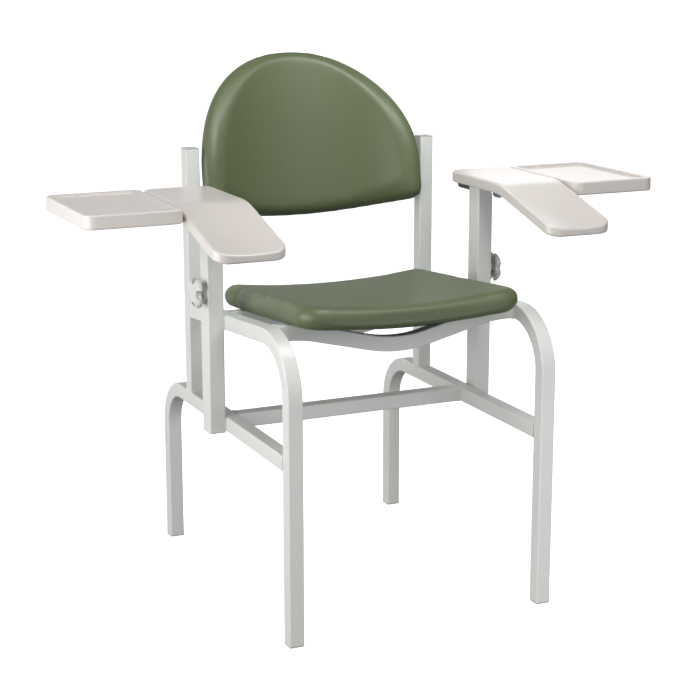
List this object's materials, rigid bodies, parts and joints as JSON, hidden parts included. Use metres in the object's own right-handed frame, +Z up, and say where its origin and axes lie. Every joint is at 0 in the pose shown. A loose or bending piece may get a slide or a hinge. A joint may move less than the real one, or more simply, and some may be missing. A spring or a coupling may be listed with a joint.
{
  "type": "phlebotomy chair",
  "caption": "Blood-draw chair with a bent square-tube frame, dished seat, wrapped backrest and height-adjustable armrests that carry side trays.",
  "frame": {"origin": "on the floor, at the middle of the rectangle that the four legs stand on", "axes": "+X towards the sitter's left, +Y from the front of the seat to the backrest, +Z up"},
  "size_m": [1.117, 0.662, 0.9801],
  "materials": {
    "frame_paint": "satin light grey powder coat",
    "zinc": "bright zinc plate",
    "moulding": "glossy warm off-white",
    "knob_plastic": "glossy light grey",
    "plug_plastic": "moulded light grey",
    "dark_board": "plywood covered in black",
    "vinyl": "smooth sage green vinyl over foam"
  },
  "bodies": {
    "frame": {"front_leg_seat_rail_left": "frame_paint", "rear_leg_lower_rail_left": "frame_paint", "back_upright_left": "frame_paint", "arm_column_left": "frame_paint", "column_cap_left": "plug_plastic", "clamp_boss_left": "frame_paint", "front_leg_seat_rail_right": "frame_paint", "rear_leg_lower_rail_right": "frame_paint", "back_upright_right": "frame_paint", "arm_column_right": "frame_paint", "column_cap_right": "plug_plastic", "clamp_boss_right": "frame_paint", "leg_end_plugs": "plug_plastic", "upright_caps": "plug_plastic", "lower_crossbar": "frame_paint", "front_seat_crossbar": "frame_paint", "rear_seat_crossbar": "frame_paint", "seat_board": "dark_board", "seat_spacers": "zinc", "seat_screws": "zinc", "seat_cushion": "vinyl", "back_board": "dark_board", "back_tabs": "frame_paint", "back_screws": "zinc", "back_cushion": "vinyl"},
    "arm_left": {"arm_post_left": "zinc", "post_shoe_left": "plug_plastic", "arm_bracket_left": "zinc", "bracket_screws_left": "zinc", "arm_support_left": "moulding", "tray_left": "moulding", "tray_straps_left": "zinc", "tray_screws_left": "zinc"},
    "clamp_left": {"clamp_pad_left": "plug_plastic"},
    "knob_left": {"clamp_stud_left": "zinc", "clamp_knob_left": "knob_plastic"},
    "arm_right": {"arm_post_right": "zinc", "post_shoe_right": "plug_plastic", "arm_bracket_right": "zinc", "bracket_screws_right": "zinc", "arm_support_right": "moulding", "tray_right": "moulding", "tray_straps_right": "zinc", "tray_screws_right": "zinc"},
    "clamp_right": {"clamp_pad_right": "plug_plastic"},
    "knob_right": {"clamp_stud_right": "zinc", "clamp_knob_right": "knob_plastic"}
  },
  "joints": [
    {"name": "arm_height_left", "type": "slide", "parent": "frame", "child": "arm_left", "axis": [0, 0, 1], "range_m": [0, 0.15]},
    {"name": "clamp_travel_left", "type": "slide", "parent": "frame", "child": "clamp_left", "axis": [1, 0, 0], "range_m": [0, 0.00251]},
    {"name": "knob_turn_left", "type": "hinge", "parent": "clamp_left", "child": "knob_left", "pos_m": [0.3, -0.011, 0.576], "axis": [1, 0, 0], "range_deg": [0, 720]},
    {"name": "arm_height_right", "type": "slide", "parent": "frame", "child": "arm_right", "axis": [0, 0, 1], "range_m": [0, 0.15]},
    {"name": "clamp_travel_right", "type": "slide", "parent": "frame", "child": "clamp_right", "axis": [-1, 0, 0], "range_m": [0, 0.00251]},
    {"name": "knob_turn_right", "type": "hinge", "parent": "clamp_right", "child": "knob_right", "pos_m": [-0.3, -0.011, 0.576], "axis": [-1, 0, 0], "range_deg": [0, 720]}
  ],
  "couplings": [
    {"joint": "clamp_travel_left", "follows": "knob_turn_left", "m_per_rad": 0.00019894},
    {"joint": "clamp_travel_right", "follows": "knob_turn_right", "m_per_rad": 0.00019894}
  ]
}
